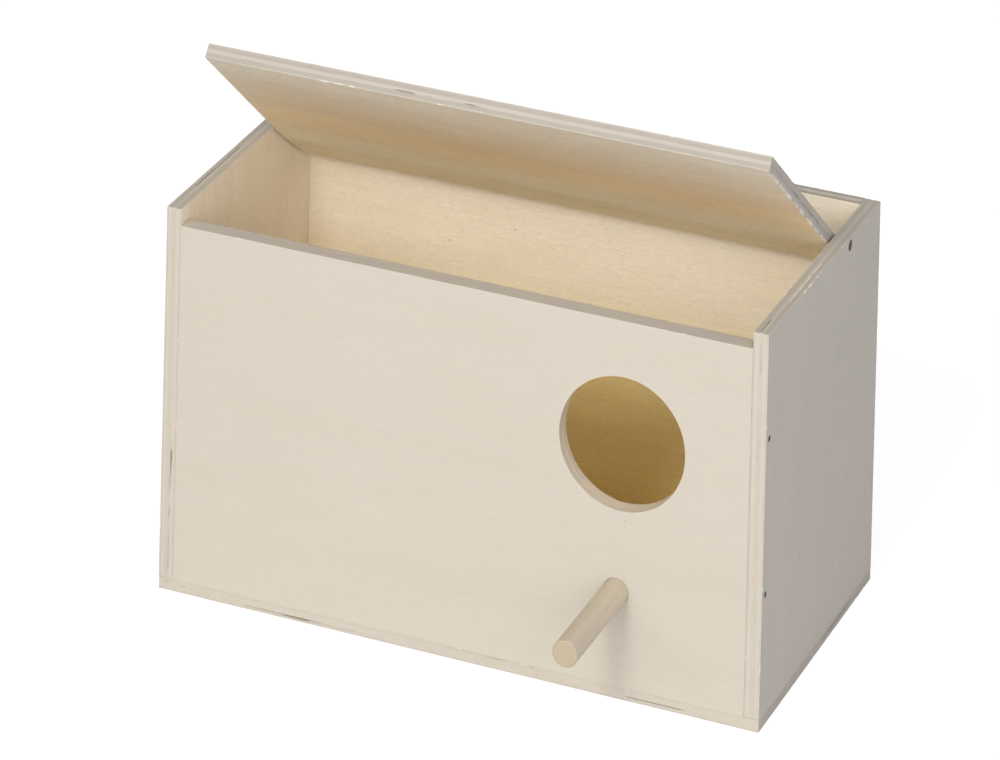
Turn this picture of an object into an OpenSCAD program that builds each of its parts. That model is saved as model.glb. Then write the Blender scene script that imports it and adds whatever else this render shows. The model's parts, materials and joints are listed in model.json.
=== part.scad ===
// Plywood nesting box for small parakeets. A full floor carries two side panels, with the front
// and back panels between them. The front is nailed through the sides, and the back is glued
// between them. The lid lies between the sides and turns on two short nails.
//
// Frame: origin at the centre of the floor's underside, +X along the box, -Y out of the front,
// +Z up. Millimetres. The lid is drawn part open, at lid_open.

/* [Box] */
// Length over the side panels
box_w = 245; // [230:1:320]
// Depth, front face to back face
box_d = 125; // [110:1:180]
// Height at the side panels
box_h = 148; // [140:1:220]

/* [Plywood] */
// Thickness of the two side panels
side_t = 6; // [5:0.5:9]
// Thickness of the front panel
front_t = 7; // [5:0.5:9]
// Thickness of the back panel
back_t = 6; // [5:0.5:9]
// Thickness of the floor
floor_t = 4.5; // [4:0.5:9]
// Thickness of the lid
lid_t = 5.5; // [5:0.5:7]

/* [Entry hole] */
// Diameter of the entry hole
hole_d = 50; // [32:1:52]
// Hole centre, to the right of the box's middle
hole_x = 66; // [-66:1:66]
// Hole centre, above the floor's underside
hole_z = 95.5; // [85:0.5:100]

/* [Perch] */
// Diameter of the perch dowel
perch_d = 10; // [8:0.5:12]
// How far the perch stands out of the front
perch_out = 50; // [30:1:80]
// Perch centre, to the right of the box's middle
perch_x = 65; // [-66:1:66]
// Perch centre, above the floor's underside
perch_z = 40; // [30:0.5:45]
// Bevel on the perch's free end
perch_bevel = 0.6; // [0.2:0.1:1.5]

/* [Lid] */
// Lid opening in this drawing, 0 is shut and level
lid_open = 38.8; // [0:0.1:165]
// Pivot line, in front of the box's back face
pivot_in = 35; // [28:0.5:45]
// Pivot line, below the tops of the side panels
pivot_drop = 3.25; // [3:0.25:4.5]
// How far the shut lid stands out past the front face
lid_lip = 3.5; // [0:0.5:8]
// Gap at each end of the lid
lid_end_gap = 1; // [0.5:0.1:2]
// Gap between the shut lid and the back panel
lid_rear_gap = 0.8; // [0.8:0.1:2]
// Gap between the shut lid and the front panel's top edge
lid_seat_gap = 0.25; // [0.1:0.05:0.5]
// Thickness planed off the underside at the lid's rear edge
lid_taper = 2.1; // [0:0.1:2.5]

/* [Nails] */
// Shank diameter of the pivot nails
pivot_d = 2; // [1.8:0.1:2.5]
// Head diameter of the pivot nails
pivot_head_d = 4; // [3.6:0.1:5]
// How far each pivot nail reaches into the lid
pivot_reach = 13; // [8:1:20]
// Radial running clearance of the lid on its pivot nails
pivot_fit = 0.05; // [0.02:0.01:0.1]
// Shank diameter of the panel brads
brad_d = 1.2; // [1:0.1:1.4]
// Length of the panel brads
brad_l = 20; // [16:1:20]
// Height of the lower brad in each of the front panel's upright joints
brad_low = 50; // [30:1:60]
// Height of the upper brad in each of the front panel's upright joints
brad_high = 108; // [90:1:115]

/* [Hidden] */

PALE_PLY = "antiquewhite";
LID_PLY = "bisque";
DOWEL = "wheat";
STEEL = "dimgray";
$fn = 48;
EPS = 0.5;              // how far a cut runs past the face it opens

inner_w = box_w - 2 * side_t;
wall_h = box_h - floor_t;
front_drop = pivot_drop + lid_t / 2 + lid_seat_gap;   // front panel's top edge, below the side tops
front_y = -box_d / 2;
back_y = box_d / 2;
front_mid_y = front_y + front_t / 2;
back_mid_y = back_y - back_t / 2;

pivot_y = back_y - pivot_in;
pivot_z = box_h - pivot_drop;
lid_reach_front = pivot_y - front_y + lid_lip;
lid_reach_rear = pivot_in - back_t - lid_rear_gap;
lid_w = inner_w - 2 * lid_end_gap;

nail_fit = 0.01;        // radial play of a driven nail in its hole
pivot_head_t = 1;
pivot_sink = 1;         // how far a pivot nail's head lies below the side's face
pivot_shank_l = side_t - pivot_sink - pivot_head_t + lid_end_gap + pivot_reach;
pivot_bore_l = pivot_reach + 1;

brad_head_d = 1.8 * brad_d;
brad_head_t = 0.6;
brad_sink = 0.2;
brad_tip_l = 1.5;
floor_brad_x = box_w / 3;                 // spacing of the brads along the front and the back
floor_brad_y = box_d / 5;                 // distance of the side panels' brads from the middle
side_mid_x = box_w / 2 - side_t / 2;

// ---- nails: the head's top is at z = 0 and the shank points down ----

module nail(shank_d, shank_l, head_d, head_t, tip_l) {
    translate([0, 0, -head_t]) cylinder(d = head_d, h = head_t);
    translate([0, 0, -head_t - shank_l + tip_l]) cylinder(d = shank_d, h = shank_l - tip_l);
    translate([0, 0, -head_t - shank_l]) cylinder(d1 = shank_d / 4, d2 = shank_d, h = tip_l);
}

module nail_hole(shank_d, shank_l, head_d, head_t) {
    translate([0, 0, -head_t]) cylinder(d = head_d + 2 * nail_fit, h = head_t + EPS);
    translate([0, 0, -head_t - shank_l]) cylinder(d = shank_d + 2 * nail_fit, h = shank_l);
}

module brad() nail(brad_d, brad_l, brad_head_d, brad_head_t, brad_tip_l);
module brad_hole() nail_hole(brad_d, brad_l, brad_head_d, brad_head_t);

// the upright joints between the side panels and the front panel
module at_front_joints() {
    for (side = [-1, 1], z = [brad_low, brad_high])
        translate([side * (box_w / 2 - brad_sink), front_mid_y, z]) rotate([0, side * 90, 0]) children();
}

// the floor's joints, nailed from below
module at_floor_joints() {
    for (y = [front_mid_y, back_mid_y], i = [-1, 0, 1])
        translate([i * floor_brad_x, y, brad_sink]) rotate([180, 0, 0]) children();
    for (side = [-1, 1], j = [-1, 1])
        translate([side * side_mid_x, j * floor_brad_y, brad_sink]) rotate([180, 0, 0]) children();
}

module at_pivot(side) {
    translate([side * (box_w / 2 - pivot_sink), pivot_y, pivot_z]) rotate([0, side * 90, 0]) children();
}

// ---- panels ----

module floor_panel() {
    color(PALE_PLY)
    difference() {
        translate([-box_w / 2, front_y, 0]) cube([box_w, box_d, floor_t]);
        at_floor_joints() brad_hole();
    }
}

module side_panel(side) {
    color(PALE_PLY)
    difference() {
        translate([side * side_mid_x - side_t / 2, front_y, floor_t]) cube([side_t, box_d, wall_h]);
        at_front_joints() brad_hole();
        at_floor_joints() brad_hole();
        at_pivot(side) nail_hole(pivot_d, pivot_shank_l, pivot_head_d, pivot_head_t);
        at_pivot(side) cylinder(d = pivot_head_d + 2 * nail_fit, h = pivot_sink + EPS);
    }
}

module left_side() side_panel(-1);
module right_side() side_panel(1);

module through_front(x, z, d) {
    translate([x, front_y - EPS, z]) rotate([-90, 0, 0]) cylinder(d = d, h = front_t + 2 * EPS);
}

module front_panel() {
    color(PALE_PLY)
    difference() {
        translate([-inner_w / 2, front_y, floor_t]) cube([inner_w, front_t, wall_h - front_drop]);
        through_front(hole_x, hole_z, hole_d);
        through_front(perch_x, perch_z, perch_d + 2 * nail_fit);
        at_front_joints() brad_hole();
        at_floor_joints() brad_hole();
    }
}

module back_panel() {
    color(PALE_PLY)
    difference() {
        translate([-inner_w / 2, back_y - back_t, floor_t]) cube([inner_w, back_t, wall_h]);
        at_floor_joints() brad_hole();
    }
}

// ---- lid: drawn shut about its pivot line, then turned open ----

module lid_outline() {
    polygon([[-lid_reach_front, -lid_t / 2], [0, -lid_t / 2], [lid_reach_rear, -lid_t / 2 + lid_taper],
             [lid_reach_rear, lid_t / 2], [-lid_reach_front, lid_t / 2]]);
}

module lid() {
    color(LID_PLY)
    translate([0, pivot_y, pivot_z]) rotate([-lid_open, 0, 0])
    difference() {
        rotate([90, 0, 90]) translate([0, 0, -lid_w / 2]) linear_extrude(height = lid_w) lid_outline();
        for (side = [-1, 1])
            translate([side * (lid_w / 2 + EPS), 0, 0]) rotate([0, -side * 90, 0])
                cylinder(r = pivot_d / 2 + pivot_fit, h = pivot_bore_l + EPS);
    }
}

// ---- perch ----

module perch() {
    color(DOWEL)
    translate([perch_x, front_y + front_t, perch_z]) rotate([90, 0, 0]) {
        cylinder(d = perch_d, h = front_t + perch_out - perch_bevel);
        translate([0, 0, front_t + perch_out - perch_bevel])
            cylinder(d1 = perch_d, d2 = perch_d - 2 * perch_bevel, h = perch_bevel);
    }
}

// ---- fasteners ----

module pivot_nail(side) {
    color(STEEL)
    at_pivot(side) nail(pivot_d, pivot_shank_l, pivot_head_d, pivot_head_t, brad_tip_l);
}

module left_pivot_nail() pivot_nail(-1);
module right_pivot_nail() pivot_nail(1);
module front_brads() { color(STEEL) at_front_joints() brad(); }
module floor_brads() { color(STEEL) at_floor_joints() brad(); }

floor_panel();
left_side();
right_side();
front_panel();
back_panel();
lid();
perch();
left_pivot_nail();
right_pivot_nail();
front_brads();
floor_brads();
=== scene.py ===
"""The looks of a small plywood nesting box: sawn boards, a hinged lid, a dowel perch and sunk nails.

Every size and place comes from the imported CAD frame. Each board is built as a sheet of plywood in its
own board coordinates: u runs along the grain of its faces, v across it, and w from its outer face
inwards. Lengths are metres.
"""

import json
import math

import bpy
import numpy as np
from mathutils import Matrix, Vector
from mathutils.geometry import delaunay_2d_cdt


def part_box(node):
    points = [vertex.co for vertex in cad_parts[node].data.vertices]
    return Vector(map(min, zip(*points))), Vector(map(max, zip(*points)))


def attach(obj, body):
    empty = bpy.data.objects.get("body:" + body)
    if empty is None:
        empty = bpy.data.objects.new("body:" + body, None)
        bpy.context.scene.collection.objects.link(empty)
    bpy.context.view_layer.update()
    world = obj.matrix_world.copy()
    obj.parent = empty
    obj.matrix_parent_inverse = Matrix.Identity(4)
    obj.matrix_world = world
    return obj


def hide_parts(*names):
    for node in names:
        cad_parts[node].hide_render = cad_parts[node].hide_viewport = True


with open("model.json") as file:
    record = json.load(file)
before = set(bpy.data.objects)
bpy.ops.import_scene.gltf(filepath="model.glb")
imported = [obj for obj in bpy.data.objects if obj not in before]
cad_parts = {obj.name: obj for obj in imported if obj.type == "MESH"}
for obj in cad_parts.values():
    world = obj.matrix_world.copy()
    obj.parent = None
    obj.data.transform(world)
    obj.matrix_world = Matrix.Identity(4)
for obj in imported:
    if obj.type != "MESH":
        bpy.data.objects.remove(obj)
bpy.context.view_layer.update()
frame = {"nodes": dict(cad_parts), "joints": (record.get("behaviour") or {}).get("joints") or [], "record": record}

MM = 0.001
X, Y, Z = Vector((1, 0, 0)), Vector((0, 1, 0)), Vector((0, 0, 1))

# How every board is sawn
POINT_STEP = 1.0 * MM  # spacing of points along a sawn edge
LEVEL_STEP = 0.28 * MM  # spacing of points through a board's thickness
GRID_STEP = 6.0 * MM  # spacing of points inside a board's faces
ARRIS = 0.10 * MM  # how far the sharp edges are eased
CORNER = 0.35 * MM  # radius of a board's corners
SAW_WAVE = 0.05 * MM  # how far a sawn edge wanders
FIBRE = 0.03 * MM  # roughness of a sawn edge
GLUE_GROOVE = 0.04 * MM  # depth of the glue lines
GLUE_SPREAD = 0.09 * MM  # how far a glue line's groove reaches to each side
VOID_END = 1.5 * MM  # length over which an open void closes at its ends
HOLE_MARGIN = 1.5 * MM  # how far a face's inner points stay from a hole's rim
JOINT_GAP = 0.015 * MM  # daylight left where two boards meet
SNUG = 0.2  # how rough a joined edge is, as a share of a free one
HEAD_FIT = 1.01  # a nail head's pocket, as a share of the head's radius
BORE_FIT = 1.05  # a pivot nail's bore, as a share of the shank's radius
BORE_SPARE = 1.0 * MM  # how much deeper a bore goes than its nail
NAIL_TIP = 1.5 * MM  # length of a nail's tip, where its shank ends
CHAMFER = 0.6 * MM  # bevel on the perch's free end

# What each point of a board knows about itself, from 0 to 1
NUMBERS = ("sawn", "facing", "opened", "torn", "bored")

# Painted shade: down in the nest, from this height and fully so a little lower, the inner veneer is
# painted a darker, warmer yellow for the shade and warm bounced light there
NEST_SHADE_TOP = 92 * MM
NEST_SHADE_FADE = 24 * MM


# ---------------------------------------------------------------- sizes from the frame


def cad_points(node):
    """A CAD node's vertices at rest, one row each."""
    return np.array([v.co for v in frame["nodes"][node].data.vertices], float)


def nail_heads(node):
    """Each nail head in a node, as (centre, along, radius, near, far).

    along is the number of the nail's axis, and the head goes from near to far on it.
    """
    one_nail = 25 * MM
    groups = []
    for point in cad_points(node):
        for group in groups:
            if np.linalg.norm(point - group[0]) < one_nail:
                group.append(point)
                break
        else:
            groups.append([point])
    heads = []
    for group in groups:
        points = np.array(group)
        low, high = points.min(0), points.max(0)
        along = int(np.argmax(high - low))
        centre = (low + high) / 2
        radial = np.linalg.norm(np.delete(points - centre, along, axis=1), axis=1)
        head = points[radial > 0.9 * radial.max(), along]
        heads.append((centre, along, radial.max(), head.min(), head.max()))
    return heads


hinge = frame["joints"][0]
pivot = Vector(hinge["pos_m"])
to_shut = (
    Matrix.Translation(pivot)
    @ Matrix.Rotation(math.radians(hinge["range_deg"][0]), 4, Vector(hinge["axis"]))
    @ Matrix.Translation(-pivot)
)
entry = next(m for m in frame["record"]["mounts"] if m["name"] == "entry_hole")
entry_centre = Vector(entry["pos_m"])
entry_radius = entry["dims"]["r_mm"] * MM
perch_low, perch_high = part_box("perch")
perch_radius = (perch_high.x - perch_low.x) / 2
perch_centre = (perch_low + perch_high) / 2


# ---------------------------------------------------------------- boards


def smooth_random(rng, rows, count, knots):
    """Rows of random values from -1 to 1 that change smoothly round a loop of count points."""
    at = np.arange(count) * knots / count
    table = rng.uniform(-1, 1, (rows, knots))
    return np.array([np.interp(at, np.arange(knots), row, period=knots) for row in table])


class Loop:
    """A closed line of points on a board's face, with the direction out of the wood at each point."""

    def __init__(self, points, outward, side, along):
        self.points = points
        self.outward = outward
        self.side = side
        self.along = along


def outline_loop(length, width, stops):
    """A board's outline. Sides 0 and 2 run along u at v = 0 and v = width, sides 3 and 1 along v."""
    corners = [(0, 0), (length, 0), (length, width), (0, width)]
    points, outward, side, along = [], [], [], []
    for k in range(4):
        start, end = np.array(corners[k], float), np.array(corners[(k + 1) % 4], float)
        run = np.linalg.norm(end - start)
        ahead = (end - start) / run
        out = np.array([ahead[1], -ahead[0]])
        for turn in np.linspace(-math.pi / 4, -math.pi / 16, 3):
            tilt = out * math.cos(turn) + ahead * math.sin(turn)
            points.append(start + (ahead - out) * CORNER + tilt * CORNER)
            outward.append(tilt)
            side.append(k)
            along.append(0.0)
        marks = set(np.linspace(CORNER, run - CORNER, round(run / POINT_STEP)))
        if k in (1, 3):
            marks |= {stop if k == 1 else run - stop for stop in stops}
        for mark in sorted(marks):
            points.append(start + ahead * mark)
            outward.append(out)
            side.append(k)
            place = start + ahead * mark
            along.append(place[0] if k in (0, 2) else place[1])
        for turn in np.linspace(math.pi / 16, math.pi / 4, 3)[:-1]:
            tilt = out * math.cos(turn) + ahead * math.sin(turn)
            points.append(end - (ahead + out) * CORNER + tilt * CORNER)
            outward.append(tilt)
            side.append(k)
            along.append(run)
    return Loop(np.array(points), np.array(outward), np.array(side), np.array(along))


def hole_loop(centre, radius, step=POINT_STEP):
    """A round hole's edge. Its side is -1, and along is the angle in degrees from +u towards +v."""
    count = max(28, round(2 * math.pi * radius / step))
    turn = np.linspace(0, 2 * math.pi, count, endpoint=False)
    ring = np.stack([np.cos(turn), np.sin(turn)], 1)
    return Loop(
        np.array(centre) + radius * ring, -ring, np.full(count, -1), np.degrees(turn)
    )


def inside(outline, places):
    """True for each place that lies inside a closed outline."""
    a, b = outline, np.roll(outline, -1, axis=0)
    px, py = places[:, 0, None], places[:, 1, None]
    crosses = (a[None, :, 1] > py) != (b[None, :, 1] > py)
    rise = np.where(b[:, 1] == a[:, 1], 1.0, b[:, 1] - a[:, 1])
    at = a[None, :, 0] + (py - a[None, :, 1]) * (b[:, 0] - a[:, 0]) / rise
    return (crosses & (px < at)).sum(1) % 2 == 1


class Board:
    """One sheet of plywood, built in board coordinates and then put in its place."""

    def __init__(self, name, size, place, plies, seed):
        self.name = name
        self.length, self.width, self.thickness = size
        self.place = place
        self.glue = np.cumsum(plies)[:-1] / sum(plies) * self.thickness
        self.rng = np.random.default_rng(seed)
        self.holes = []
        self.pockets = []
        self.voids = []
        self.chips = []
        self.stops = []  # each v where the mesh needs a row of points
        self.taper = (0.0, 0.0)  # the v where the board starts to thin, and by how much it does
        self.snug = ()  # the sides that meet another board
        self.points, self.faces, self.numbers = [], [], []

    def add_hole(self, centre, radius):
        self.holes.append((centre, radius))

    def add_pocket(self, centre, radius, depth):
        self.pockets.append((centre, radius, depth))

    def add_void(self, side, start, end, share, deep=0.9, high=0.5):
        """A gap in a core ply, in mm but for share: how far through it lies, 1 at the inner face."""
        self.voids.append((side, start * MM, end * MM, share, deep * MM, high * MM))

    def add_chip(self, side, at, long, deep, share):
        """A torn splinter at a place in mm along a side, or at an angle round a hole."""
        self.chips.append((side, at, long, deep * MM, share))

    def add_splinters(self, side, start, end, count, share, deepest=0.42):
        """A ragged stretch, start to end along a side, where the saw lifted the fibres."""
        for _ in range(count):
            at = self.rng.uniform(start, end)
            long, deep = self.rng.uniform(0.5, 2.6), self.rng.uniform(0.3, 1.0) * deepest
            self.add_chip(side, at, long, deep, share)

    def scatter_chips(self, count):
        """Small tear-out that the saw leaves here and there on every board."""
        for _ in range(count):
            side = int(self.rng.integers(4))
            run = (self.length, self.width)[side % 2] / MM
            at = float(self.rng.uniform(6, run - 6))
            long, deep = self.rng.uniform(0.8, 2.4), self.rng.uniform(0.1, 0.24)
            self.add_chip(side, at, long, deep, float(self.rng.integers(2)))

    def local_thickness(self, v):
        """The thickness at v: full as far as the taper's start, then less towards the far edge."""
        start, drop = self.taper
        share = np.clip((v - start) / (self.width - start), 0, 1)
        return self.thickness - drop * share

    def through_shares(self):
        """Where the levels lie through the thickness, 0 at the outer face and 1 at the inner one."""
        ease = np.array([0.0, 0.12, 0.4, 1.0]) * ARRIS
        core = np.linspace(ARRIS, self.thickness - ARRIS, round(self.thickness / LEVEL_STEP))
        return np.concatenate([ease, core[1:-1], self.thickness - ease[::-1]]) / self.thickness

    def wall(self, loop):
        """Adds the sawn surface from face to face along a loop. Returns its two end rings."""
        shares = self.through_shares()
        count = len(loop.points)
        full = self.local_thickness(loop.points[:, 1])
        depth = shares[:, None] * full[None, :]
        from_face = np.minimum(depth, full - depth)
        inset = ARRIS - np.sqrt(np.clip(ARRIS**2 - np.clip(ARRIS - from_face, 0, ARRIS) ** 2, 0, None))
        for line in self.glue:
            inset = inset + GLUE_GROOVE * np.exp(-(((depth - line) / GLUE_SPREAD) ** 2))
        free = np.where(np.isin(loop.side, self.snug), SNUG, 1.0)
        inset = inset + free * SAW_WAVE * (1 + smooth_random(self.rng, 1, count, max(6, count // 30)))
        fibres = smooth_random(self.rng, len(shares), count, max(12, count // 3))
        inset = inset + free * FIBRE * (1 + fibres)
        opened = self.open_voids(loop, depth, full, inset)
        torn = self.tear_chips(loop, depth, full, inset)
        places = loop.points[None] - loop.outward[None] * inset[..., None]
        facing = np.broadcast_to(np.abs(loop.outward[:, 0]), depth.shape)
        bored = np.broadcast_to((loop.side < 0).astype(float), depth.shape)
        sawn = np.ones(depth.shape)
        sawn[0] = sawn[-1] = 0
        rings = self.add_rings(places, depth, sawn, facing, opened, torn, bored)
        return rings[0], rings[-1]

    def open_voids(self, loop, depth, full, inset):
        """Deepens inset where a void opens on this loop, and returns how open each point is."""
        opened = np.zeros(depth.shape)
        for side, start, end, share, deep, high in self.voids:
            ragged = 1 + 0.35 * smooth_random(self.rng, 1, len(full), max(12, len(full) // 4))[0]
            ends = np.clip(np.minimum(loop.along - start, end - loop.along) / VOID_END, 0, 1)
            here = (loop.side == side) * ends
            near = np.clip(1.5 - np.abs(depth - share * full) / (high * ragged / 2), 0, 1)
            gap = near * here[None, :]
            inset += gap * deep * ragged
            opened = np.maximum(opened, gap)
        return opened

    def tear_chips(self, loop, depth, full, inset):
        """Breaks the arris where a chip lies on this loop, and returns how torn each point is."""
        torn = np.zeros(depth.shape)
        unit = 1.0 if loop.side[0] < 0 else MM
        for side, at, long, deep, share in self.chips:
            near = np.clip(1.2 - np.abs(loop.along / unit - at) / (long / 2), 0, 1)
            here = near * (loop.side == side)
            away = np.abs(depth - share * full)
            notch = np.clip(1 - away / (1.6 * deep), 0, 1) * here[None, :]
            ragged = 1 + 0.4 * smooth_random(self.rng, 1, len(full), max(12, len(full) // 2))[0]
            inset += notch * deep * ragged
            torn = np.maximum(torn, np.clip(notch * 3, 0, 1))
        return torn

    def add_rings(self, places, depth, *numbers):
        """Adds rows of points, and the faces between them. Returns each row's point numbers."""
        levels, count = depth.shape
        first = sum(len(p) for p in self.points)
        self.points.append(np.concatenate([places, depth[..., None]], axis=2).reshape(-1, 3))
        self.numbers.append(np.stack(numbers, axis=2).reshape(-1, len(NUMBERS)))
        rings = first + np.arange(levels * count).reshape(levels, count)
        ahead = np.roll(rings, -1, axis=1)
        quads = np.stack([rings[:-1], ahead[:-1], ahead[1:], rings[1:]], axis=2)
        self.faces += [tuple(q) for q in quads.reshape(-1, 4).tolist()]
        return rings

    def pocket(self, centre, radius, depth):
        """A blind round recess in the outer face, punched for a nail head. Returns its rim."""
        loop = hole_loop(centre, radius, 0.3 * MM)
        levels = np.array([0.0, 0.3, 1.0, depth / ARRIS]) * ARRIS
        ease = np.array([1.0, 0.3, 0.0, 0.0]) * ARRIS
        count = len(loop.points)
        ragged = 0.25 * ARRIS * smooth_random(self.rng, 4, count, count // 2)
        places = loop.points[None] - loop.outward[None] * (ease[:, None] + ragged)[..., None]
        depths = np.repeat(levels[:, None], count, axis=1)
        flat = np.zeros(depths.shape)
        sawn = np.ones(depths.shape)
        sawn[0] = 0
        # The pocket's walls and bottom count as opened, so they get the voids' painted shade
        rings = self.add_rings(places, depths, sawn, flat, sawn, flat, flat)
        middle = sum(len(p) for p in self.points)
        self.points.append(np.array([[centre[0], centre[1], depth]]))
        self.numbers.append(np.array([[1.0, 0.0, 1.0, 0.0, 0.0]]))
        bottom = rings[-1].tolist()
        self.faces += [(a, b, middle) for a, b in zip(bottom, bottom[1:] + bottom[:1])]
        return rings[0]

    def face(self, rings, inner):
        """Fills a face between the outline ring, which comes first, and the rings of its holes."""
        known = np.concatenate(self.points)
        outlines = [known[ring, :2] for ring in rings]
        across = np.arange(GRID_STEP, self.length - GRID_STEP / 3, GRID_STEP)
        rows = set(np.arange(GRID_STEP, self.width - GRID_STEP / 3, GRID_STEP))
        up = np.array(sorted(rows | set(self.stops)))
        grid = np.stack(np.meshgrid(across, up), 2).reshape(-1, 2)
        keep = np.ones(len(grid), bool)
        for outline in outlines[1:]:
            centre = outline.mean(0)
            reach = np.linalg.norm(outline - centre, axis=1).max()
            keep &= np.linalg.norm(grid - centre, axis=1) > reach + HOLE_MARGIN
        grid = grid[keep]
        first = len(known)
        depth = self.local_thickness(grid[:, 1]) if inner else np.zeros(len(grid))
        self.points.append(np.column_stack([grid, depth]))
        self.numbers.append(np.zeros((len(grid), len(NUMBERS))))
        numbers = np.concatenate(list(rings) + [np.arange(first, first + len(grid))])
        flat = np.concatenate(outlines + [grid])
        edges, start = [], 0
        for ring in rings:
            own = list(range(start, start + len(ring)))
            edges += list(zip(own, own[1:] + own[:1]))
            start += len(ring)
        outer = list(range(len(rings[0])))
        coords = [Vector(p) for p in (flat / MM).tolist()]
        _, _, triangles, origins, _, _ = delaunay_2d_cdt(coords, edges, [outer], 1, 1e-6)
        corner = np.array([[origins[i][0] for i in t] for t in triangles])
        middles = flat[corner].mean(1)
        solid = inside(outlines[0], middles)
        for outline in outlines[1:]:
            solid &= ~inside(outline, middles)
        self.faces += [tuple(t) for t in numbers[corner[solid]].tolist()]

    def build(self):
        """Makes the board's mesh object and puts it in place."""
        self.scatter_chips(14)
        loops = [outline_loop(self.length, self.width, self.stops)]
        loops += [hole_loop(centre, radius) for centre, radius in self.holes]
        ends = [self.wall(loop) for loop in loops]
        rims = [self.pocket(*pocket) for pocket in self.pockets]
        walls = len(self.faces)
        self.face([outer for outer, _ in ends] + rims, inner=False)
        self.face([inner for _, inner in ends], inner=True)
        points = np.concatenate(self.points)
        numbers = np.concatenate(self.numbers)
        mesh = bpy.data.meshes.new(self.name)
        mesh.from_pydata(points.tolist(), [], self.faces)
        smooth = np.arange(len(self.faces)) < walls
        mesh.polygons.foreach_set("use_smooth", smooth)
        board = mesh.attributes.new("board", "FLOAT_VECTOR", "POINT")
        board.data.foreach_set("vector", points.astype(np.float32).ravel())
        depth = mesh.attributes.new("depth", "FLOAT", "POINT")
        depth.data.foreach_set("value", (points[:, 2] / self.thickness).astype(np.float32))
        for column, name in enumerate(NUMBERS):
            number = mesh.attributes.new(name, "FLOAT", "POINT")
            number.data.foreach_set("value", numbers[:, column].astype(np.float32))
        mesh.transform(self.place)
        # Painted shade: how far down in the nest each point lies, to paint the inner veneer darker and warmer
        # there
        height = np.array([v.co.z for v in mesh.vertices])
        depths = np.clip((NEST_SHADE_TOP - height) / NEST_SHADE_FADE, 0, 1)
        nest = mesh.attributes.new("nest", "FLOAT", "POINT")
        nest.data.foreach_set("value", depths.astype(np.float32))
        return add_object(self.name, mesh)


def add_object(name, mesh):
    """Links a mesh as a new object, with all its faces turned outwards."""
    mesh.update()
    mesh.validate()
    made = bpy.data.objects.new(name, mesh)
    bpy.context.scene.collection.objects.link(made)
    bpy.context.view_layer.objects.active = made
    made.select_set(True)
    bpy.ops.object.mode_set(mode="EDIT")
    bpy.ops.mesh.select_all(action="SELECT")
    bpy.ops.mesh.normals_make_consistent(inside=False)
    bpy.ops.object.mode_set(mode="OBJECT")
    made.select_set(False)
    return made


def axes(u, v, w, origin):
    """The matrix that puts board coordinates in the row frame."""
    placed = Matrix((u, v, w)).transposed().to_4x4()
    placed.translation = origin
    return placed


FIVE_PLY = (0.6, 1.6, 1.6, 1.6, 0.6)
THREE_PLY = (0.7, 3.1, 0.7)


def panel(name, node, u, v, w, plies, seed, snug):
    """A board for a CAD panel that is square to the frame. Its snug sides meet another board."""
    low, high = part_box(node)
    origin = Vector([(low if (u + v + w)[i] > 0 else high)[i] for i in range(3)])
    size = [abs((high - low).dot(axis)) for axis in (u, v, w)]
    gaps = [JOINT_GAP if side in snug else 0.0 for side in range(4)]
    origin = origin + u * gaps[3] + v * gaps[0]
    size[0] -= gaps[3] + gaps[1]
    size[1] -= gaps[0] + gaps[2]
    board = Board(name, size, axes(u, v, w, origin), plies, seed)
    board.snug = snug
    board.origin = origin
    board.u, board.v, board.w = u, v, w
    return board


def on_board(board, point):
    """A frame point's (u, v) on a panel."""
    offset = Vector(point) - board.origin
    return (offset.dot(board.u), offset.dot(board.v))


def sink_nails(board, *nodes):
    """Pockets in the board's outer face for the heads of these nodes' nails that go in there."""
    for node in nodes:
        for centre, along, radius, near, far in nail_heads(node):
            if abs(board.w[along]) < 0.5:
                continue
            depths = [(value - board.origin[along]) * board.w[along] for value in (near, far)]
            if max(depths) < board.thickness:
                board.add_pocket(on_board(board, centre), radius * HEAD_FIT, max(depths))


def build_front():
    """The front, with the entry hole, the perch's hole and a gap at the right end of its top edge."""
    board = panel("front_board", "front_panel", X, Z, Y, FIVE_PLY, 11, snug=(0, 1, 3))
    board.add_hole(on_board(board, entry_centre), entry_radius)
    board.add_hole(on_board(board, perch_centre), perch_radius)
    top, hole = 2, -1
    board.add_splinters(top, 3, 13, 5, share=1)
    board.add_void(top, 231.2, 233, 0.5, 0.5, 3.0)
    board.add_void(top, 60, 84, 0.62, 0.4, 0.25)
    for angle in (172, 181, 214, 262, 305, 350, 64):
        board.add_chip(hole, angle, 3.5, 0.3, share=1)
    return board.build()


def build_back():
    """The back, with a long open void in its top edge."""
    board = panel("back_board", "back_panel", X, Z, -Y, FIVE_PLY, 23, snug=(0, 1, 3))
    top = 2
    board.add_void(top, 187, 232.5, 0.66, 1.8, 1.8)
    board.add_void(top, 34, 71, 0.5, 0.5, 0.3)
    return board.build()


def build_left():
    """The left side, with nail pockets and small voids in three edges."""
    board = panel("left_board", "left_side", Z, Y, X, FIVE_PLY, 37, snug=(3,))
    sink_nails(board, "left_pivot_nail", "front_brads")
    front, top, back = 0, 1, 2
    board.add_void(front, 39, 50, 0.66, 0.8, 0.36)
    board.add_void(front, 1, 40, 0.62, 0.3, 0.2)
    board.add_void(front, 126, 127.5, 0.42, 0.4, 0.3)
    board.add_void(top, 20, 62, 0.3, 0.4, 0.25)
    board.add_void(back, 84, 112, 0.4, 0.9, 0.4)
    return board.build()


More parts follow.
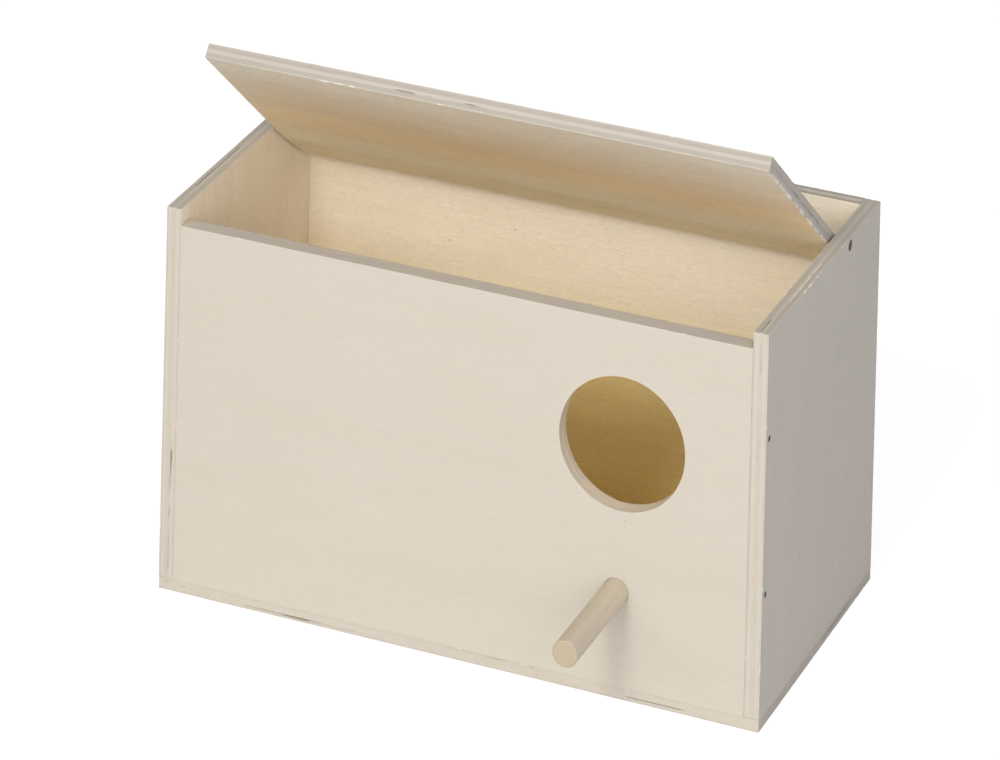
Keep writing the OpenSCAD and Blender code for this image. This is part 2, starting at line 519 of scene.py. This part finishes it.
def build_right():
    """The right side, with nail pockets and a ragged stretch on its top edge."""
    board = panel("right_board", "right_side", Z, Y, -X, FIVE_PLY, 41, snug=(3,))
    sink_nails(board, "right_pivot_nail", "front_brads")
    front, top, back = 0, 1, 2
    board.add_void(front, 97, 98.6, 0.55, 0.6, 0.5)
    board.add_void(front, 100, 142, 0.52, 0.25, 0.18)
    board.add_void(top, 1.5, 13, 0.62, 0.9, 0.4)
    board.add_void(back, 22, 58, 0.6, 0.9, 0.4)
    board.add_splinters(top, 28, 64, 54, share=0.42, deepest=0.26)
    board.add_splinters(top, 34, 58, 6, share=0)
    board.add_splinters(top, 20, 95, 14, share=1)
    return board.build()


def build_floor():
    """The floor, of three plies, with voids along its front edge."""
    board = panel("floor_board", "floor_panel", X, Y, Z, THREE_PLY, 53, snug=())
    sink_nails(board, "floor_brads")
    front, right = 0, 1
    board.add_void(front, 192, 216, 0.34, 0.25, 0.2)
    board.add_void(front, 153.5, 156, 0.92, 0.5, 0.35)
    board.add_void(front, 118, 150, 0.88, 0.25, 0.2)
    board.add_void(front, 2, 5, 0.7, 0.4, 0.3)
    board.add_void(front, 9, 12, 0.62, 0.4, 0.3)
    board.add_void(front, 52, 64, 0.22, 0.6, 0.35)
    board.add_void(front, 36, 84, 0.26, 0.3, 0.2)
    board.add_void(right, 70, 104, 0.5, 0.8, 0.4)
    return board.build()


def build_lid():
    """The lid, built shut and level and then turned to where it rests. It thins behind the pivot."""
    shut = np.array([to_shut @ Vector(p) for p in cad_points("lid")])
    low, high = shut.min(0), shut.max(0)
    origin = Vector((low[0], low[1], high[2]))
    place = to_shut.inverted() @ axes(X, Y, -Z, origin)
    board = Board("lid_board", high - low, place, FIVE_PLY, 67)
    rear = shut[shut[:, 1] > high[1] - 0.1 * MM]
    board.taper = (pivot.y - low[1], rear[:, 2].min() - low[2])
    board.stops = [board.taper[0]]
    front, right = 0, 1
    board.add_void(front, 78.5, 88, 0.58, 0.5, 0.26)
    board.add_void(front, 86, 130, 0.60, 0.25, 0.16)
    board.add_void(front, 107.5, 113, 0.58, 0.45, 0.26)
    board.add_void(right, 30, 72, 0.45, 0.3, 0.25)
    board.add_splinters(right, 4, 88, 60, share=1, deepest=0.62)
    board.add_splinters(front, 44, 70, 6, share=1)
    made = board.build()
    for node in ("left_pivot_nail", "right_pivot_nail"):
        drill_bore(made, node)
    return made


def drill_bore(board, node):
    """Drills the lid's end for the shank of a pivot nail, a little deeper than the nail reaches."""
    low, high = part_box(node)
    inner_end = low.x if low.x > 0 else high.x
    outer_end = high.x if low.x > 0 else low.x
    bottom = inner_end - math.copysign(BORE_SPARE, outer_end)
    points = cad_points(node)
    near_tip = points[np.abs(points[:, 0] - inner_end) < NAIL_TIP]
    radius = BORE_FIT * np.linalg.norm(near_tip[:, 1:] - np.array(pivot)[1:], axis=1).max()
    mesh = bpy.data.meshes.new("bore")
    count = 32
    ring = [
        (side, pivot.y + radius * math.cos(t), pivot.z + radius * math.sin(t))
        for side in (bottom, outer_end)
        for t in np.linspace(0, 2 * math.pi, count, endpoint=False)
    ]
    walls = [(k, (k + 1) % count, count + (k + 1) % count, count + k) for k in range(count)]
    ends = [tuple(range(count))[::-1], tuple(range(count, 2 * count))]
    mesh.from_pydata(ring, [], walls + ends)
    cutter = add_object("bore", mesh)
    cut = board.modifiers.new("bore", "BOOLEAN")
    cut.operation = "DIFFERENCE"
    cut.solver = "MANIFOLD"
    cut.object = cutter
    bpy.context.view_layer.objects.active = board
    bpy.ops.object.modifier_apply(modifier=cut.name)
    bpy.data.objects.remove(cutter)


# ---------------------------------------------------------------- perch


def build_perch():
    """A turned dowel along Y: a slightly uneven round rod with a chamfered, sawn front end."""
    rng = np.random.default_rng(83)
    around = 96
    length = perch_high.y - perch_low.y
    core = [0.15, 0.4, 0.65, 0.84]
    sawn_rows = len(core) + 3  # the end and its chamfer
    rows = [(0.0, perch_radius * share) for share in core]
    rows += [(0.0, perch_radius - CHAMFER), (0.25 * CHAMFER, perch_radius - 0.5 * CHAMFER)]
    rows += [(0.7 * CHAMFER, perch_radius - 0.12 * CHAMFER)]
    rows += [(at, perch_radius) for at in np.linspace(1.2 * CHAMFER, length, 48)]
    wobble = 0.05 * MM * smooth_random(rng, len(rows), around, 9)
    saw = 0.05 * MM * smooth_random(rng, len(rows), around, 40)
    points, numbers = [], []
    for row, (back, radius) in enumerate(rows):
        on_end = row < len(core)
        for k in range(around):
            turn = 2 * math.pi * k / around
            reach = radius - (0 if on_end else abs(wobble[row][k]))
            sunk = abs(saw[row][k]) if on_end else 0
            side = perch_centre.x + reach * math.cos(turn)
            up = perch_centre.z + reach * math.sin(turn)
            points.append((side, perch_low.y + back + sunk, up))
            numbers.append(1.0 if row < sawn_rows else 0.0)
    faces = []
    for row in range(len(rows) - 1):
        for k in range(around):
            ahead = (k + 1) % around
            lower, upper = row * around, (row + 1) * around
            faces.append((lower + k, lower + ahead, upper + ahead, upper + k))
    last = (len(rows) - 1) * around
    for first, at in ((0, perch_low.y), (last, perch_high.y)):
        middle = len(points)
        points.append((perch_centre.x, at, perch_centre.z))
        numbers.append(1.0)
        faces += [(first + k, first + (k + 1) % around, middle) for k in range(around)]
    mesh = bpy.data.meshes.new("perch_dowel")
    mesh.from_pydata(points, [], faces)
    mesh.polygons.foreach_set("use_smooth", [True] * len(faces))
    sawn = mesh.attributes.new("sawn", "FLOAT", "POINT")
    sawn.data.foreach_set("value", numbers)
    grain = mesh.attributes.new("board", "FLOAT_VECTOR", "POINT")
    centred = [(p[1], p[0] - perch_centre.x, p[2] - perch_centre.z) for p in points]
    grain.data.foreach_set("vector", np.array(centred, np.float32).ravel())
    return add_object("perch_dowel", mesh)


# ---------------------------------------------------------------- materials

# Tones of the wood. A veneer has a light and a dark one
OUTSIDE = ((0.588, 0.533, 0.446), (0.576, 0.518, 0.430))
INSIDE = ((0.895, 0.793, 0.630), (0.855, 0.743, 0.572))
LID_UNDER = ((0.880, 0.740, 0.560), (0.830, 0.675, 0.490))
# Painted shade and warm bounced light down in the nest
NEST_SHADE_TINT = (0.97, 0.89, 0.54)  # what the veneer keeps of each colour down in the nest
SPECK = (0.22, 0.13, 0.07)
SAWN = (0.540, 0.482, 0.404)
BORED = (0.640, 0.550, 0.425)
GLUE = (0.20, 0.135, 0.075)
# Torn fibres: pale fresh wood, made lighter still by a painted highlight for the light they catch
TORN_PALE_AND_LIT = (0.86, 0.82, 0.74)
# Painted shade, nearly black, in open voids and nail pockets
VOID_SHADE = (0.10, 0.072, 0.045)
PLY_TONES = (1.00, 0.97, 1.02, 0.975, 1.00)
FIVE_LINES = (0.10, 0.37, 0.63, 0.90)  # where the glue shows, as shares of the thickness
THREE_LINES = (0.155, 0.845)
DOWEL = ((0.620, 0.535, 0.405), (0.535, 0.446, 0.320), (0.500, 0.412, 0.280))  # the third is its end

# Painted light under the lid: the veneer is painted greyer near the front edge, where light from outside
# falls, browner across the middle for warm light bounced inside the box, and lighter at the rear for
# light bounced off the back panel. Each stop is a share of this width, and what the tones are multiplied by there
PAINTED_LIGHT_WIDTH = 90 * MM
LID_PAINTED_LIGHT = (
    (0.10, (0.91, 0.96, 1.01)),
    (0.50, (0.95, 0.92, 0.86)),
    (0.70, (1.08, 1.03, 0.88)),
    (0.95, (1.11, 1.22, 1.28)),
)


class Shader:
    """Adds nodes to one material, so that its shader reads as a list of steps."""

    def __init__(self, name, seed):
        self.material = bpy.data.materials.new(name)
        self.material.use_nodes = True
        self.nodes = self.material.node_tree.nodes
        self.links = self.material.node_tree.links
        self.bsdf = self.nodes["Principled BSDF"]
        self.seed = seed
        self.layers = 0

    def feed(self, socket, value):
        if isinstance(value, bpy.types.NodeSocket):
            self.links.new(value, socket)
        else:
            socket.default_value = value

    def math(self, operation, a, b=0.0):
        node = self.nodes.new("ShaderNodeMath")
        node.operation = operation
        self.feed(node.inputs[0], a)
        self.feed(node.inputs[1], b)
        return node.outputs[0]

    def attribute(self, name):
        node = self.nodes.new("ShaderNodeAttribute")
        node.attribute_name = name
        return node

    def number(self, name):
        return self.attribute(name).outputs["Fac"]

    def place(self, scale):
        """Board coordinates times scale, shifted so that each layer has its own pattern."""
        mapping = self.nodes.new("ShaderNodeMapping")
        self.layers += 1
        shift = (self.seed * 3.7, self.layers * 11.3, self.seed * 1.9)
        mapping.inputs["Location"].default_value = shift
        mapping.inputs["Scale"].default_value = scale
        self.links.new(self.attribute("board").outputs["Vector"], mapping.inputs["Vector"])
        return mapping.outputs[0]

    def across(self):
        """How far across the board a point lies, in metres."""
        split = self.nodes.new("ShaderNodeSeparateXYZ")
        self.links.new(self.attribute("board").outputs["Vector"], split.inputs[0])
        return split.outputs["Y"]

    def noise(self, scale, detail=3.0, rough=0.55, distortion=0.0):
        node = self.nodes.new("ShaderNodeTexNoise")
        self.feed(node.inputs["Vector"], self.place(scale))
        node.inputs["Scale"].default_value = 1.0
        node.inputs["Detail"].default_value = detail
        node.inputs["Roughness"].default_value = rough
        node.inputs["Distortion"].default_value = distortion
        return node.outputs["Fac"]

    def span(self, value, low, high, to_low=0.0, to_high=1.0):
        """Value from low to high, remapped and held at the ends."""
        node = self.nodes.new("ShaderNodeMapRange")
        node.inputs["From Min"].default_value = low
        node.inputs["From Max"].default_value = high
        node.inputs["To Min"].default_value = to_low
        node.inputs["To Max"].default_value = to_high
        self.feed(node.inputs["Value"], value)
        return node.outputs["Result"]

    def bands(self, value, stops):
        """A stepped ramp of greys: each stop is (where, level)."""
        node = self.nodes.new("ShaderNodeValToRGB")
        ramp = node.color_ramp
        ramp.interpolation = "CONSTANT"
        while len(ramp.elements) < len(stops):
            ramp.elements.new(0.5)
        for element, (at, level) in zip(ramp.elements, stops):
            element.position = at
            element.color = (level, level, level, 1)
        self.feed(node.inputs["Fac"], value)
        return node.outputs["Color"]

    def fade(self, value, stops):
        """A smooth ramp of colours: each stop is (where, colour)."""
        node = self.nodes.new("ShaderNodeValToRGB")
        ramp = node.color_ramp
        while len(ramp.elements) < len(stops):
            ramp.elements.new(0.5)
        for element, (at, colour) in zip(ramp.elements, stops):
            element.position = at
            element.color = (*colour, 1)
        self.feed(node.inputs["Fac"], value)
        return node.outputs["Color"]

    def multiply(self, a, b):
        node = self.nodes.new("ShaderNodeVectorMath")
        node.operation = "MULTIPLY"
        self.feed(node.inputs[0], a)
        self.feed(node.inputs[1], b)
        return node.outputs[0]

    def mix(self, share, a, b):
        node = self.nodes.new("ShaderNodeMix")
        node.data_type = "RGBA"
        self.feed(node.inputs["Factor"], share)
        self.feed(node.inputs["A"], a if isinstance(a, bpy.types.NodeSocket) else (*a, 1))
        self.feed(node.inputs["B"], b if isinstance(b, bpy.types.NodeSocket) else (*b, 1))
        return node.outputs["Result"]

    def shade(self, colour, factor):
        """A colour made lighter or darker by a factor."""
        node = self.nodes.new("ShaderNodeVectorMath")
        node.operation = "SCALE"
        self.feed(node.inputs[0], colour)
        self.feed(node.inputs["Scale"], factor)
        return node.outputs[0]

    def bump(self, height, distance):
        node = self.nodes.new("ShaderNodeBump")
        node.inputs["Strength"].default_value = 1.0
        node.inputs["Distance"].default_value = distance
        self.feed(node.inputs["Height"], height)
        self.links.new(node.outputs["Normal"], self.bsdf.inputs["Normal"])


def summed(shader, *terms):
    """1 plus each (value, amount) term, where value is a noise about one half."""
    total = 1.0
    for value, amount in terms:
        swing = shader.math("MULTIPLY", shader.math("SUBTRACT", value, 0.5), amount)
        total = shader.math("ADD", total, swing)
    return total


def sanded_face(s, light, dark, figure):
    """A sanded veneer's colour and relief: streaks, veins, pores, pale flecks and dark specks."""
    clouds = s.noise((9, 26, 300), 2)
    veins = s.noise((7, 95, 300), 3, 0.5, 0.8)
    contour = s.math("SINE", s.math("MULTIPLY", veins, 46.0))
    streaks = s.noise((44, 700, 300), 4, 0.6)
    fibres = s.noise((160, 2300, 900), 3, 0.65)
    waves = s.noise((120, 800, 900), 3, 0.6, 1.2)
    mottle = s.noise((520, 1400, 900), 3, 0.65)
    pores = s.span(s.noise((210, 1900, 900), 1), 0.66, 0.76)
    flecks = s.span(s.noise((380, 1500, 900), 1), 0.64, 0.76)
    specks = s.span(s.noise((260, 520, 900), 1), 0.815, 0.84)
    tone = summed(s, (clouds, 0.04), (streaks, 0.06), (fibres, 0.09), (waves, 0.12), (mottle, 0.22))
    tone = s.math("ADD", tone, s.math("MULTIPLY", contour, 0.008))
    tone = s.math("ADD", tone, s.math("MULTIPLY", flecks, 0.07))
    tone = s.math("SUBTRACT", tone, s.math("MULTIPLY", pores, 0.07))
    tone = s.math("ADD", 1.0, s.math("MULTIPLY", s.math("SUBTRACT", tone, 1.0), figure))
    colour = s.mix(s.span(s.noise((12, 60, 300), 3, 0.6), 0.3, 0.7), light, dark)
    colour = s.shade(colour, tone)
    colour = s.mix(s.math("MULTIPLY", specks, 0.55), colour, SPECK)
    relief = s.math("SUBTRACT", s.math("SUBTRACT", fibres, 0.5), pores)
    return colour, s.math("MULTIPLY", relief, 0.5)


def sawn_edge(s, depth, glue_lines, end_shade):
    """A sawn edge's colour and relief: plies along it and across it in turn, and thin glue lines."""
    wander = s.math("MULTIPLY", s.math("SUBTRACT", s.noise((60, 60, 0), 2), 0.5), 0.035)
    through = s.math("ADD", depth, wander)
    starts = [0.0, *glue_lines]
    crossed = s.bands(through, [(at, float(k % 2)) for k, at in enumerate(starts)])
    ply_tone = s.bands(through, [(at, PLY_TONES[k] / 2) for k, at in enumerate(starts)])
    facing = s.number("facing")
    turned = s.math("MULTIPLY", crossed, s.math("SUBTRACT", 1.0, s.math("MULTIPLY", facing, 2.0)))
    end_grain = s.math("ADD", facing, turned)
    glue = 0.0
    for line in glue_lines:
        away = s.math("ABSOLUTE", s.math("SUBTRACT", through, line))
        glue = s.math("MAXIMUM", glue, s.span(away, 0.006, 0.024, 1.0, 0.0))
    glue = s.math("MULTIPLY", glue, s.span(s.noise((150, 150, 300), 3), 0.38, 0.66))
    long_grain = s.noise((110, 110, 3600), 3, 0.6)
    pips = s.noise((2300, 2300, 2300), 2, 0.7)
    blotches = s.noise((95, 95, 700), 3, 0.6)
    tone = summed(s, (long_grain, 0.16), (pips, 0.12), (blotches, 0.12))
    tone = s.math("MULTIPLY", tone, s.math("MULTIPLY", ply_tone, 2.0))
    tone = s.math("MULTIPLY", tone, s.span(end_grain, 0.0, 1.0, 1.0, end_shade))
    bored = s.number("bored")
    colour = s.shade(s.mix(bored, SAWN, BORED), tone)
    glue = s.math("MULTIPLY", glue, s.span(bored, 0.0, 1.0, 0.24, 0.60))
    colour = s.mix(glue, colour, GLUE)
    # Torn fibres are pale, with a painted highlight on top
    colour = s.mix(s.math("MULTIPLY", s.number("torn"), 0.8), colour, TORN_PALE_AND_LIT)
    # Painted shade: open voids and nail pockets are painted nearly black, as a recess in shade
    colour = s.mix(s.math("MULTIPLY", s.number("opened"), 0.8), colour, VOID_SHADE)
    relief = summed(s, (long_grain, 1.4), (pips, 1.6))
    return colour, s.math("SUBTRACT", relief, 1.0)


def nest_shaded(colour):
    """A veneer's colour down in the nest, painted darker and warmer for shade and warm bounced light."""
    return tuple(part * kept for part, kept in zip(colour, NEST_SHADE_TINT))


def plywood(name, seed, figure, glue_lines=FIVE_LINES, inner=INSIDE, end_shade=0.94, painted_light=None):
    """Plywood with one veneer outside and another inside, and its plies showing on the sawn edges.

    figure is how strong the outer and the inner veneer's patterns are, glue_lines where the glue lies
    through the thickness, inner the inner veneer's light and dark tones, end_shade how bright the
    plies are whose ends show, and painted_light the painted light and shade across the inner veneer.
    """
    s = Shader(name, seed)
    depth = s.number("depth")
    within = s.math("GREATER_THAN", depth, 0.5)
    # Painted shade: down in the nest the inner veneer is darker and warmer
    nest = s.math("MULTIPLY", within, s.number("nest"))
    light = s.mix(nest, s.mix(within, OUTSIDE[0], inner[0]), nest_shaded(inner[0]))
    dark = s.mix(nest, s.mix(within, OUTSIDE[1], inner[1]), nest_shaded(inner[1]))
    face, sanded = sanded_face(s, light, dark, s.span(within, 0.0, 1.0, *figure))
    # Painted light and shade across the inner veneer, from the front edge to the rear
    if painted_light:
        lit_face = s.multiply(face, s.fade(s.span(s.across(), 0.0, PAINTED_LIGHT_WIDTH), painted_light))
        face = s.mix(within, face, lit_face)
    edge, torn = sawn_edge(s, depth, glue_lines, end_shade)
    cut = s.number("sawn")
    s.feed(s.bsdf.inputs["Base Color"], s.mix(cut, face, edge))
    s.feed(s.bsdf.inputs["Roughness"], s.span(cut, 0.0, 1.0, 0.62, 0.78))
    s.bsdf.inputs["Specular IOR Level"].default_value = 0.30
    s.bump(s.math("ADD", sanded, s.math("MULTIPLY", cut, torn)), 0.05 * MM)
    return s.material


def dowel_wood(name, seed):
    """A turned dowel: fine long grain and flecks down its side, growth rings on its sawn end."""
    s = Shader(name, seed)
    light, dark, end_grain = DOWEL
    grain = s.noise((24, 620, 620), 4, 0.6)
    fleck = s.span(s.noise((300, 1500, 1500), 2), 0.6, 0.72)
    bands = s.noise((10, 130, 130), 2)
    tone = summed(s, (grain, 0.34), (bands, 0.18))
    tone = s.math("SUBTRACT", tone, s.math("MULTIPLY", fleck, 0.11))
    side = s.shade(s.mix(s.span(bands, 0.3, 0.7), light, dark), tone)
    wave = s.nodes.new("ShaderNodeTexWave")
    wave.bands_direction = "Z"
    wave.inputs["Scale"].default_value = 1.0
    wave.inputs["Distortion"].default_value = 2.2
    wave.inputs["Detail"].default_value = 3.0
    s.feed(wave.inputs["Vector"], s.place((60, 60, 290)))
    rings = wave.outputs["Fac"]
    pips = s.noise((2000, 1900, 1900), 3, 0.7)
    end_tone = summed(s, (rings, 0.05), (pips, 0.45))
    end = s.shade(end_grain, end_tone)
    sawn = s.number("sawn")
    s.feed(s.bsdf.inputs["Base Color"], s.mix(sawn, side, end))
    s.feed(s.bsdf.inputs["Roughness"], s.span(grain, 0.3, 0.7, 0.5, 0.66))
    s.bsdf.inputs["Specular IOR Level"].default_value = 0.35
    rough_end = s.math("MULTIPLY", s.math("SUBTRACT", summed(s, (pips, 3.0)), 1.0), sawn)
    s.bump(s.math("ADD", grain, rough_end), 0.06 * MM)
    return s.material


def dull_steel(name, seed):
    """Bare nail steel, dulled, with a little rust and a scuffed head."""
    s = Shader(name, seed)
    where = s.nodes.new("ShaderNodeTexCoord")
    patches = s.nodes.new("ShaderNodeTexNoise")
    patches.inputs["Scale"].default_value = 900.0
    patches.inputs["Detail"].default_value = 4.0
    s.links.new(where.outputs["Object"], patches.inputs["Vector"])
    rust = s.span(patches.outputs["Fac"], 0.5, 0.7)
    s.feed(s.bsdf.inputs["Base Color"], s.mix(rust, (0.030, 0.026, 0.022), (0.050, 0.028, 0.016)))
    s.feed(s.bsdf.inputs["Metallic"], s.span(rust, 0.0, 1.0, 0.30, 0.0))
    s.feed(s.bsdf.inputs["Roughness"], s.span(patches.outputs["Fac"], 0.3, 0.7, 0.62, 0.85))
    s.bump(patches.outputs["Fac"], 0.03 * MM)
    return s.material


# ---------------------------------------------------------------- assembly


def stand_in(piece, node, body, material):
    """Gives a piece its material, and puts it in the place of a CAD node."""
    piece.data.materials.clear()
    piece.data.materials.append(material)
    piece.data.polygons.foreach_set("material_index", [0] * len(piece.data.polygons))
    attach(piece, body)
    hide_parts(node)


front_wood = plywood("front_plywood", 1, (0.50, 1.2), end_shade=1.05)
back_wood = plywood("back_plywood", 2, (0.8, 1.2))
left_wood = plywood("left_plywood", 3, (0.6, 1.2), end_shade=1.10)
right_wood = plywood("right_plywood", 4, (0.6, 1.2), end_shade=1.10)
floor_wood = plywood("floor_plywood", 5, (0.8, 1.0), THREE_LINES, end_shade=1.08)
lid_wood = plywood("lid_plywood", 6, (0.9, 1.5), inner=LID_UNDER, end_shade=0.86, painted_light=LID_PAINTED_LIGHT)

stand_in(build_front(), "front_panel", "box", front_wood)
stand_in(build_back(), "back_panel", "box", back_wood)
stand_in(build_left(), "left_side", "box", left_wood)
stand_in(build_right(), "right_side", "box", right_wood)
stand_in(build_floor(), "floor_panel", "box", floor_wood)
stand_in(build_lid(), "lid", "lid", lid_wood)
stand_in(build_perch(), "perch", "box", dowel_wood("dowel_wood", 7))

steel = dull_steel("nail_steel", 8)
for name, node in frame["nodes"].items():
    if "nail" in name or "brads" in name:
        node.data.materials.clear()
        node.data.materials.append(steel)


# ---------------------------------------------------------------- studio


def studio_floor():
    """A plain pale floor. It is matt for bounced light, and a little brighter for the camera."""
    half = 40.0
    mesh = bpy.data.meshes.new("studio_floor")
    corners = [(-half, -half, 0), (half, -half, 0), (half, half, 0), (-half, half, 0)]
    mesh.from_pydata(corners, [], [(0, 1, 2, 3)])
    floor = bpy.data.objects.new("studio_floor", mesh)
    bpy.context.scene.collection.objects.link(floor)
    material = bpy.data.materials.new("studio_floor")
    material.use_nodes = True
    nodes, links = material.node_tree.nodes, material.node_tree.links
    nodes.clear()
    output = nodes.new("ShaderNodeOutputMaterial")
    choose = nodes.new("ShaderNodeMixShader")
    eye = nodes.new("ShaderNodeLightPath")
    bounce = nodes.new("ShaderNodeBsdfDiffuse")
    bounce.inputs["Color"].default_value = (0.78, 0.78, 0.78, 1)
    matt = nodes.new("ShaderNodeBsdfDiffuse")
    matt.inputs["Color"].default_value = (0.20, 0.20, 0.20, 1)
    glow = nodes.new("ShaderNodeEmission")
    glow.inputs["Color"].default_value = (1, 1, 1, 1)
    glow.inputs["Strength"].default_value = 0.90
    seen = nodes.new("ShaderNodeAddShader")
    links.new(matt.outputs[0], seen.inputs[0])
    links.new(glow.outputs[0], seen.inputs[1])
    links.new(eye.outputs["Is Camera Ray"], choose.inputs[0])
    links.new(bounce.outputs[0], choose.inputs[1])
    links.new(seen.outputs[0], choose.inputs[2])
    links.new(choose.outputs[0], output.inputs["Surface"])
    mesh.materials.append(material)
    floor.location.z = -0.05 * MM


def towards(azimuth, height):
    """A direction from the box, azimuth degrees right of straight in front and height degrees up."""
    turn, rise = math.radians(azimuth), math.radians(height)
    level = math.cos(rise)
    return Vector((math.sin(turn) * level, -math.cos(turn) * level, math.sin(rise)))


def place_light(data, name, away, distance):
    """Puts a light at a distance in the direction away, facing the box and unseen by the camera."""
    lamp = bpy.data.objects.new(name, data)
    lamp.location = away * distance + Vector((0, 0, 0.08))
    lamp.rotation_euler = away.to_track_quat("Z", "Y").to_euler()
    lamp.visible_camera = False
    bpy.context.scene.collection.objects.link(lamp)


BOX_DISTANCE = 2.4
# name: azimuth and height, size across and up, power, colour
SOFT_BOXES = {
    "front_box": (0, 30, 4.0, 1.7, 43.5, (1.0, 1.0, 1.0)),
    "front_right_box": (45, 20, 2.0, 1.6, 14.3, (1.0, 1.0, 1.0)),
    "right_box": (80, 18, 2.4, 1.6, 12.3, (0.64, 0.72, 1.0)),
    "top_box": (0, 80, 2.6, 2.6, 6.3, (1.0, 1.0, 1.0)),
    "rear_box": (200, 30, 2.4, 1.6, 9.0, (1.0, 1.0, 1.0)),
}


def studio_light():
    """A small key high in front, a wide soft box below it, and weaker ones right, above and behind."""
    key = bpy.data.lights.new("key", "SUN")
    key.energy = 0.93
    key.angle = math.radians(14)
    place_light(key, "key", towards(-2, 36), 3.0)
    for name, (azimuth, height, across, up, power, colour) in SOFT_BOXES.items():
        box = bpy.data.lights.new(name, "AREA")
        box.shape = "RECTANGLE"
        box.size, box.size_y = across, up
        box.energy = power
        box.color = colour
        place_light(box, name, towards(azimuth, height), BOX_DISTANCE)


def studio_world():
    """A white surround for the camera, and a weak even light for everything else."""
    world = bpy.data.worlds.new("studio")
    world.use_nodes = True
    bpy.context.scene.world = world
    nodes, links = world.node_tree.nodes, world.node_tree.links
    nodes.clear()
    output = nodes.new("ShaderNodeOutputWorld")
    choose = nodes.new("ShaderNodeMixShader")
    eye = nodes.new("ShaderNodeLightPath")
    around = nodes.new("ShaderNodeBackground")
    around.inputs["Color"].default_value = (1.0, 1.0, 1.0, 1)
    around.inputs["Strength"].default_value = 0.085
    seen = nodes.new("ShaderNodeBackground")
    seen.inputs["Color"].default_value = (1.0, 1.0, 1.0, 1)
    links.new(eye.outputs["Is Camera Ray"], choose.inputs[0])
    links.new(around.outputs[0], choose.inputs[1])
    links.new(seen.outputs[0], choose.inputs[2])
    links.new(choose.outputs[0], output.inputs["Surface"])


def studio_camera():
    """A long lens from the front right, dipped slightly and shifted down, like a view camera."""
    place = Vector((0.8190, -2.0317, 1.1164))
    azimuth, dip, roll = 22.80, 1.68, math.radians(1.423)
    drop = -2.53  # the lens shift, which only this place needs
    back = towards(azimuth, dip)
    right = Z.cross(back).normalized()
    up = back.cross(right)
    rolled = right * math.cos(roll) + up * math.sin(roll)
    data = bpy.data.cameras.new("studio_camera")
    data.sensor_width = 36
    data.lens = 207.8
    camera = bpy.data.objects.new("studio_camera", data)
    camera.matrix_world = axes(rolled, back.cross(rolled), back, place)
    bpy.context.scene.collection.objects.link(camera)
    bpy.context.scene.camera = camera
    shift = data.driver_add("shift_y").driver
    shift.type = "SCRIPTED"
    for name, kind in (("x", "LOC_X"), ("y", "LOC_Y"), ("z", "LOC_Z")):
        variable = shift.variables.new()
        variable.name = name
        variable.type = "TRANSFORMS"
        variable.targets[0].id = camera
        variable.targets[0].transform_type = kind
    away = f"abs(x - {place.x:.4f}) + abs(y - {place.y:.4f}) + abs(z - {place.z:.4f})"
    shift.expression = f"{drop} if {away} < 0.001 else 0.0"


studio_floor()
studio_light()
studio_world()
studio_camera()
bpy.context.scene.view_settings.view_transform = "Standard"
